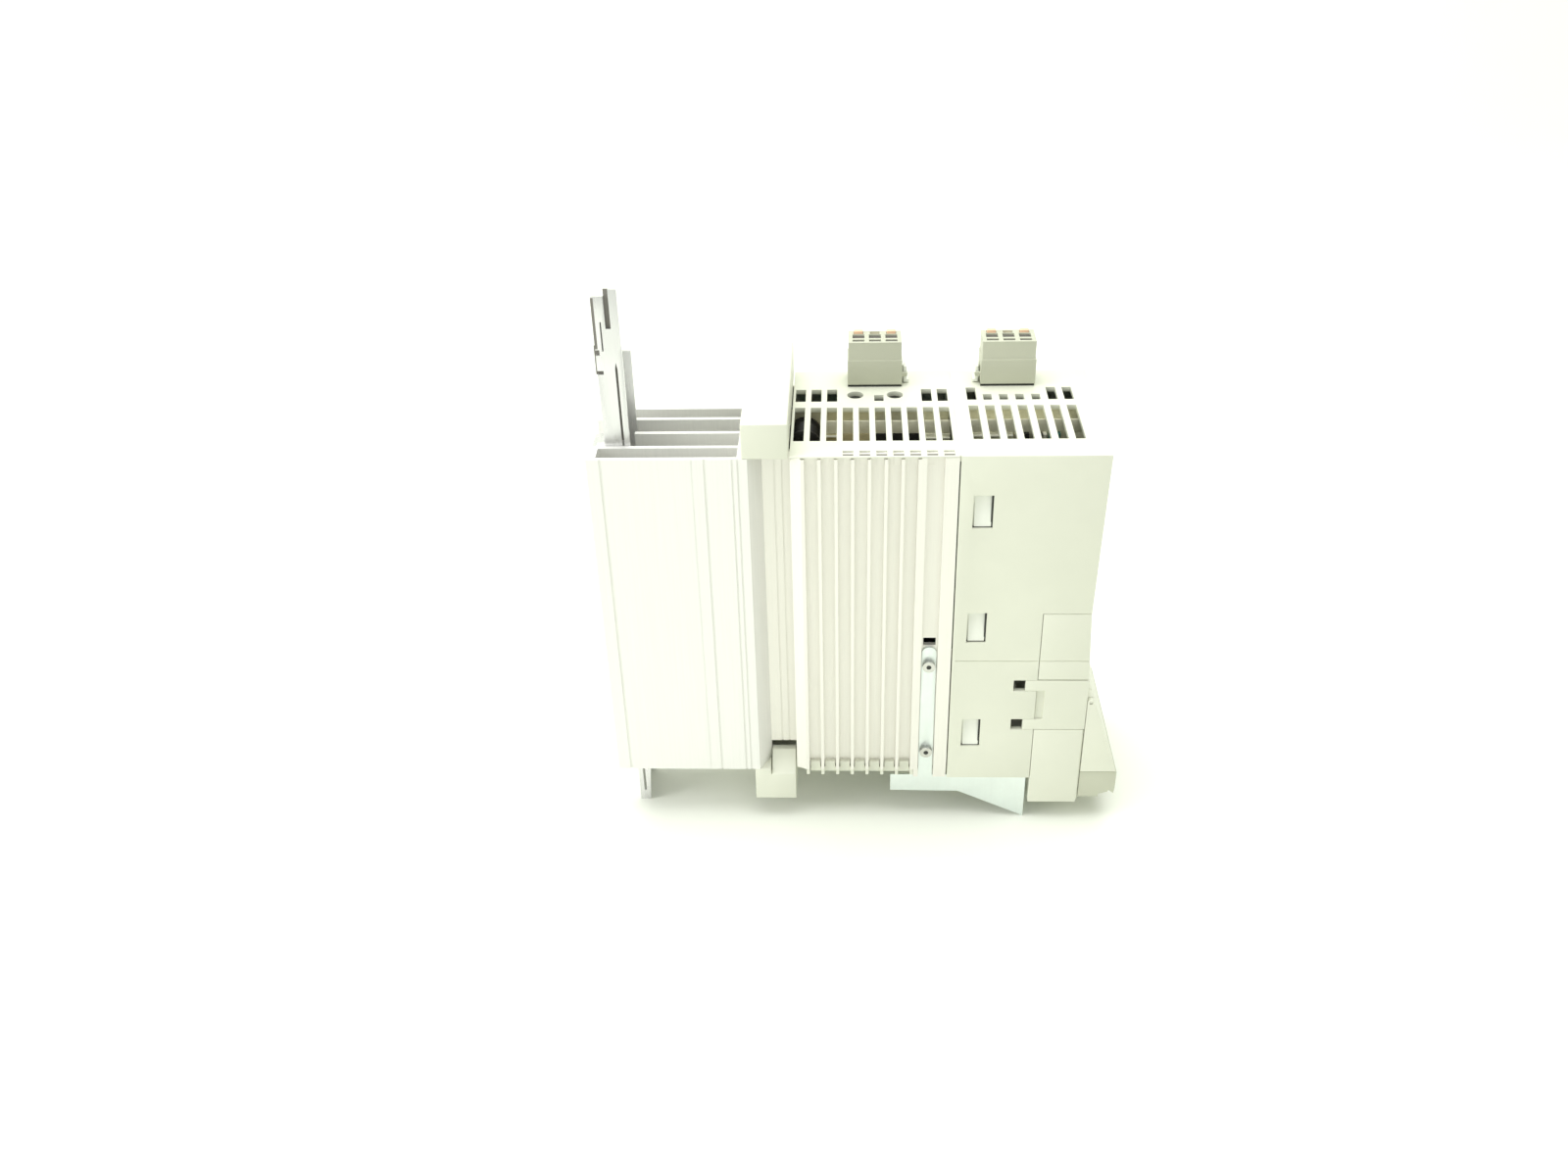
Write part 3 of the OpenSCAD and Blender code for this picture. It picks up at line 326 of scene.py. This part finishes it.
def strips(name, boxes, body="drive", slot="dark_plastic", mat=None):
    """Small blocks, each with its X range, its range from the near side and its Z range"""
    bm = bmesh.new()
    for x0, x1, y0, y1, z0, z1 in boxes:
        cuboid(bm, (x0, near + y0, z0), (x1, near + y1, z1))
    add(name, bm, body, slot, mat, smooth=False)


# ---- parts that show through the vents ----


def inner(name, look, *boxes):
    """Blocks with rounded edges: X range, range from the near side, depths of foot and head"""
    bm = bmesh.new()
    for x0, x1, y0, y1, foot, head in boxes:
        cuboid(bm, (x0, near + y0, top - foot), (x1, near + y1, top - head), 0.3)
    slot = "film" if look in ("grey", "tan", "pale") else "dark_plastic"
    add(name, bm, "drive", slot, inside[look])


SHEET_FAR = (51.2, 51.6)                        # insulating sheet beyond the parts
CAP_Y = (39.3, 51)                              # capacitor row below the ribbed part's slots
CAP_Z = (19, 9.3)
CAP_X2 = 157.4                                  # front end of that row
EDGE_Y = (37.9, 39.5)                           # bright edges on the row
RELAY_Y = (38.5, 44)                            # small parts below the housing's slots
RELAY_Z = (17, 9.4)

inner("insulating_sheet", "grey", (84.5, CAP_X2, *SHEET_FAR, 20.5, 2.8),
      (99.5, CAP_X2, 39.6, 40, 9.2, 2.9))
inner("filter_caps_tan", "tan", (101, 108.4, *CAP_Y, *CAP_Z), (109, 122.4, *CAP_Y, *CAP_Z))
inner("filter_caps_black", "black", (123, 144.1, *CAP_Y, *CAP_Z))
inner("filter_caps_pale", "grey", (145, CAP_X2, *CAP_Y, *CAP_Z))
inner("cap_edges", "pale", (101, 108.3, *EDGE_Y, 10.4, 9.7), (145, CAP_X2, *EDGE_Y, 11.6, 10.8))
inner("control_sheet", "grey", (163, 219.6, *SHEET_FAR, 22, 2.8), (163.5, 219, 40.2, 40.6, 9.2, 2.9),
      (211, 219, 40.4, 40.8, 22, 9.2))
inner("control_boxes", "grey", (164, 185.6, 40, 51, 17, 9.3), (186.5, 213, 42, 51, 14, 9.4))
inner("control_edges", "pale", (164.1, 185.5, 38.6, 40.1, 11, 10.2))
inner("control_relays", "black", (187.5, 192.6, *RELAY_Y, *RELAY_Z),
      (194.5, 198.2, *RELAY_Y, *RELAY_Z))
inner("control_plugs", "teal", (201.5, 206.4, 38.6, 44, *RELAY_Z))
inner("control_button", "pale", (198.8, 200.4, 38.6, 42, 12, 9.8))


def inductor():
    """Wound core that stands near the recess: a leaning drum with flanges and turns of wire"""
    sides, turns, wound = 28, 22, 9.2
    core_r, wire_r, flange_r = 6.4, 0.35, 7.6
    flange = [(0.0, -7.5), (6.6, -7.5), (flange_r, -6.9), (flange_r, -5.4), (core_r, -5.0)]
    winding = [(core_r + wire_r * (i % 2), -wound / 2 + wound * i / turns) for i in range(turns + 1)]
    profile = flange + winding + [(r, -h) for r, h in reversed(flange)]
    lean = Matrix.Rotation(math.radians(28), 3, "Y")
    centre = Vector((92.5, near + 42, top - 13))
    bm = bmesh.new()
    rings = []
    for r, h in profile:
        angles = [2 * math.pi * k / sides for k in range(sides)]
        rings.append([bm.verts.new((centre + lean @ Vector((r * math.cos(a), h, r * math.sin(a)))) / 1000)
                      for a in angles])
    for p, q in zip(rings, rings[1:]):
        for k in range(sides):
            bm.faces.new((p[k], p[(k + 1) % sides], q[(k + 1) % sides], q[k]))
    bmesh.ops.remove_doubles(bm, verts=bm.verts, dist=1e-7)
    add("inductor", bm, "drive", "dark_plastic", inside["black"])


inductor()

# ---- dark blocks of painted shade behind the slots of the upper rail's near flange, and a painted dark reflection along its outer bend ----

RAIL_BACK = 6.8                                 # rear face of the rail's web
FLANGE_T = 1.5
behind = (rail_y + FLANGE_T, rail_y + FLANGE_T + 0.4)
RAIL_PAINTED_SHADE = [                                   # X from the rail's back, Y range, Z above the body
    (5.2, 7.6, *behind, 52, 69.8),              # fork between the lobes
    (7.5, 8.7, *behind, 1, 38),                 # long pointed slot
    (-0.05, 1.1, rail_y - 0.06, rail_y + 0.3, 44, 66.5),        # painted dark reflection on the outer bend
    (2.8, 3.6, *behind, 42, 57),                # narrow slot
    (-0.8, 2.7, *behind, 32, 45),               # rear notches
]
# dark blocks in the shade material: painted shade in the slots, and a painted reflection on the bend
strips("rail_painted_shade", [(RAIL_BACK + x0, RAIL_BACK + x1, y0, y1, top + z0, top + z1)
                     for x0, x1, y0, y1, z0, z1 in RAIL_PAINTED_SHADE], mat=inside["shade"])

# ---- edge slits of the upper vent cover: wall of the panel behind them, and above it a dark strip of painted shade under the cover's lip ----

SLOT_X, SLOT_PITCH = 1.1, 7.15                  # first slot from the cover's end, and the slots' pitch
slits = [panel_x + SLOT_X + SLOT_PITCH * i for i in range(3, 10)]
strips("slit_walls", [(x + 0.35, x + 3.45, 3.3, 5.5, top - 5.5, top - 0.78) for x in slits[:-1]],
       slot="aluminium", mat=mats["panel"])
# dark strips of painted shade under the cover's lip
strips("slit_painted_shade", [(x + 0.1, x + 4.5, 1.02, 2.5, top - 0.68, top - 0.04) for x in slits],
       mat=inside["shade"])

# ---- light strips: seam of cover and housing, sides of the lower plug, foot of the panel's channels ----

CLEAR = 0.02                                    # gap that keeps a strip off the faces beside it
strips("seam_strip", [(cover_x2 + CLEAR, shell_x - CLEAR, 0.7, body_w - 0.7, top - 2.8, top - 0.15)],
       slot="shell", mat=mats["shell"])
strips("lower_plug_strips", [(plug_x2 + CLEAR, plug_x2 + 0.7, y, y + 0.6, -19, 24)
                             for y in (0.8, body_w - 1.4)], slot="shell", mat=mats["shell"])
strips("panel_feet", [(cover_x2 - back, cover_x2 - front, 0.3, 2.6, -4.6, -0.05)
                      for back, front in ((15.7, 13.4), (6.2, 0.1))], slot="aluminium", mat=mats["panel"])

# ---- painted shade inside the openings of the supply plugs, and a dark strip below each plug that paints its contact shadow ----

HALF = 2.45                                     # half the width of a plug's opening
SHADOW_END = 4.65                               # how far the painted shadow strip runs past the outer poles
for plug in PLUGS:
    poles = [sum(corner.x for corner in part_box(f"{plug}_button_{pole}")) * 500 for pole in POLES]
    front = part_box(plug + "_plug")[0].y * 1000 - near
    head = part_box(plug + "_plug")[1].z * 1000
    funnel_shade = [(x - HALF, x + HALF, front + 6.1, front + 10.25, head - 8.1, head - 0.7) for x in poles]
    test_slot_shade = [(x - HALF, x + HALF, front + 2.35, front + 4.45, head - 6.6, head - 0.5) for x in poles]
    # dark blocks of painted shade inside the funnels and test slots
    strips(plug + "_plug_opening_shade", funnel_shade + test_slot_shade, plug + " plug", mat=inside["opening"])
    # dark strip that paints the contact shadow below the plug
    strips(plug + "_plug_painted_shadow", [(poles[0] - SHADOW_END, poles[-1] + SHADOW_END, front + 0.35,
                                    front + 0.7, top + CLEAR, top + 1.1)])

# ---- sockets of the screws that hold the shield sheet, on both sides of the drive: a dark disc of painted shade in each socket and a steel rim ----

SCREW_X, SCREW_Z = 149.13, (10.4, 61.0)         # the screws' axes, in mm
DISC_T = 0.3
sides = (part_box("shield_screws")[0].y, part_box("shield_screws")[1].y)


def discs(name, radius, slot, sink):
    """Thin discs in mm, whose middle lies below the screws' outer faces"""
    bm = bmesh.new()
    for y, inward in zip(sides, (1, -1)):
        for z in SCREW_Z:
            at = Matrix.Translation((SCREW_X / 1000, y + inward * sink / 1000, z / 1000))
            bmesh.ops.create_cone(bm, cap_ends=True, segments=24, radius1=radius / 1000,
                                  radius2=radius / 1000, depth=DISC_T / 1000,
                                  matrix=at @ Matrix.Rotation(math.pi / 2, 4, "X"))
    add(name, bm, "drive", slot)


# dark discs of painted shade in the sockets
discs("screw_socket_shade", 1.15, "dark_plastic", 0.1)
discs("screw_rims", 2.0, "steel", 0.14)

# ---- dark strips of painted shade in the gap beside and below each snap clip in the housing's windows ----

WINDOW_Z = (14.6, 75.1, 135.6)                  # foot of each window
WINDOW_H = 16.4
window_x, window_x2 = shell_x + 6, shell_x + 14.8
for k, z in enumerate(WINDOW_Z):
    # painted shade at the side and foot of the window
    strips("window_gap_%d" % (k + 1), [(window_x2 - 0.9, window_x2, 1.2, 1.6, z, z + WINDOW_H),
                                       (window_x, window_x2, 1.2, 1.6, z, z + 0.7)])

# ---- floor and lights ----


def make_floor():
    """Pale floor that curves up into a wall behind the object"""
    m = Nodes("floor")
    soft = m.noise(3, 2, 0.5)
    m.colour(m.ramp(soft, (0.3, (0.905, 0.93, 0.845)), (0.7, (0.93, 0.95, 0.87))))
    m.put("Roughness", 0.6)
    m.put("Specular IOR Level", 0.2)
    bend_y, bend_r, steps, half_width, wall_h = 1.1, 0.5, 12, 4, 3.0
    profile = [(-3.0, 0), (bend_y, 0)]
    for i in range(1, steps + 1):
        a = math.pi / 2 * i / steps
        profile.append((bend_y + bend_r * math.sin(a), bend_r * (1 - math.cos(a))))
    profile.append((bend_y + bend_r, wall_h))
    bm = bmesh.new()
    floor_z = cad_box[0].z
    rows = [[bm.verts.new((x, y, floor_z + z)) for x in (-half_width, half_width)] for y, z in profile]
    for a, b in zip(rows, rows[1:]):
        bm.faces.new((a[0], a[1], b[1], b[0]))
    for face in bm.faces:
        face.smooth = True
    mesh = bpy.data.meshes.new("floor")
    bm.to_mesh(mesh)
    bm.free()
    mesh.materials.append(m.mat)
    o = bpy.data.objects.new("floor", mesh)
    bpy.context.collection.objects.link(o)


def area(name, place, target, size, power):
    """White area light that faces a target"""
    light = bpy.data.lights.new(name, "AREA")
    light.shape = "RECTANGLE"
    light.size, light.size_y = size
    light.energy = power
    lamp = bpy.data.objects.new(name, light)
    lamp.location = place
    lamp.rotation_mode = "QUATERNION"
    lamp.rotation_quaternion = (Vector(target) - Vector(place)).to_track_quat("-Z", "Y")
    bpy.context.collection.objects.link(lamp)


make_floor()
area("top", (0.1, 0.15, 1.6), (0.1, 0, 0), (1.8, 1.6), 26)
area("left", (-1.5, -0.5, 0.7), (0.1, 0, 0.1), (1.0, 1.2), 16)

world = bpy.data.worlds.new("world")
bpy.context.scene.world = world
world.use_nodes = True
background = world.node_tree.nodes["Background"]
background.inputs["Color"].default_value = (0.98, 1.0, 0.96, 1)
background.inputs["Strength"].default_value = 0.68

bpy.context.scene.view_settings.view_transform = "Standard"
